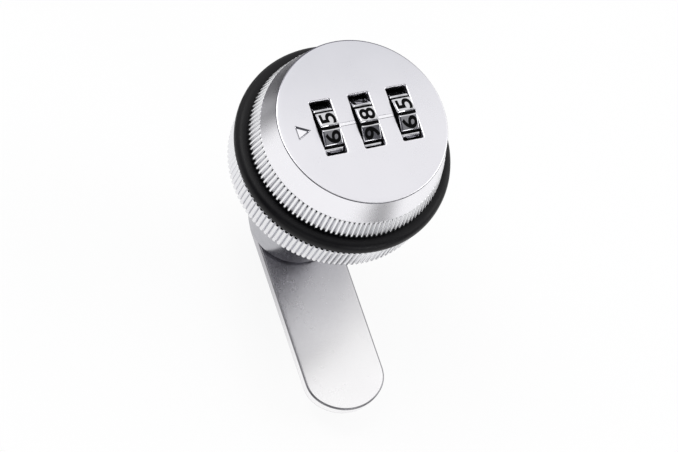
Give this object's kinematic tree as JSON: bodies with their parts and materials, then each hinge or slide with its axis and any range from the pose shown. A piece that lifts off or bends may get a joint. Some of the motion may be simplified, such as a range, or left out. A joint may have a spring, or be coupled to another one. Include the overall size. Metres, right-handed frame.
{
  "type": "combination locker lock",
  "caption": "Round cam lock for a locker door: a knurled knob with code dials in its face, a seal ring, a ring nut, a barrel and a flat cam plate.",
  "frame": {"origin": "on the lock's axis in the plane of the door's outer face, which is the gasket's underside", "axes": "+Z along the lock's axis out of the door towards the user, X along the row of dials, -Y the way the cam plate points at rest"},
  "size_m": [0.0436, 0.0634, 0.0584],
  "materials": {
    "satin_chrome": "satin chrome plate on a zinc casting, brushed face",
    "bright_chrome": "bright chrome plate on a zinc casting",
    "dial_chrome": "bright chrome with black-filled digits",
    "zinc_casting": "bare zinc die casting",
    "plated_steel": "satin nickel plate",
    "zinc_plated_steel": "bright zinc plate",
    "spring_steel": "plain spring steel",
    "steel": "ground steel",
    "brass": "turned brass",
    "rubber": "moulded black rubber, soft sheen"
  },
  "bodies": {
    "barrel": {"barrel_body": "bright_chrome", "gasket": "rubber", "ring_nut": "bright_chrome"},
    "knob": {"knob_shell": "satin_chrome", "dial_carrier": "zinc_casting", "carrier_screws": "zinc_plated_steel", "dial_axle": "steel", "axle_clips": "spring_steel", "detent_spring": "spring_steel", "detent_screws": "zinc_plated_steel", "bar_spring": "spring_steel", "cam_plate": "plated_steel", "end_washer": "zinc_plated_steel", "lock_washer": "spring_steel", "cam_screw": "zinc_plated_steel"},
    "bar": {"locking_bar": "steel"},
    "dial_1": {"dial_wheel_1": "dial_chrome", "code_sleeve_1": "brass"},
    "dial_2": {"dial_wheel_2": "dial_chrome", "code_sleeve_2": "brass"},
    "dial_3": {"dial_wheel_3": "dial_chrome", "code_sleeve_3": "brass"}
  },
  "joints": [
    {"name": "knob_turn", "type": "hinge", "parent": "barrel", "child": "knob", "pos_m": [0, 0, 0], "axis": [0, 0, -1], "range_deg": [0, 90]},
    {"name": "bar_slide", "type": "slide", "parent": "knob", "child": "bar", "axis": [1, 0, 0], "range_m": [0, 0.0022], "deforming": ["bar_spring"]},
    {"name": "dial_turn_1", "type": "hinge", "parent": "knob", "child": "dial_1", "pos_m": [-0.0072, 0, 0.0085], "axis": [1, 0, 0], "continuous": true, "deforming": ["detent_spring"]},
    {"name": "dial_turn_2", "type": "hinge", "parent": "knob", "child": "dial_2", "pos_m": [0.0008, 0, 0.0085], "axis": [1, 0, 0], "continuous": true},
    {"name": "dial_turn_3", "type": "hinge", "parent": "knob", "child": "dial_3", "pos_m": [0.0088, 0, 0.0085], "axis": [1, 0, 0], "continuous": true}
  ],
  "couplings": [
    {"joint": "bar_slide", "follows": "knob_turn", "m_per_rad": 0.0014}
  ]
}
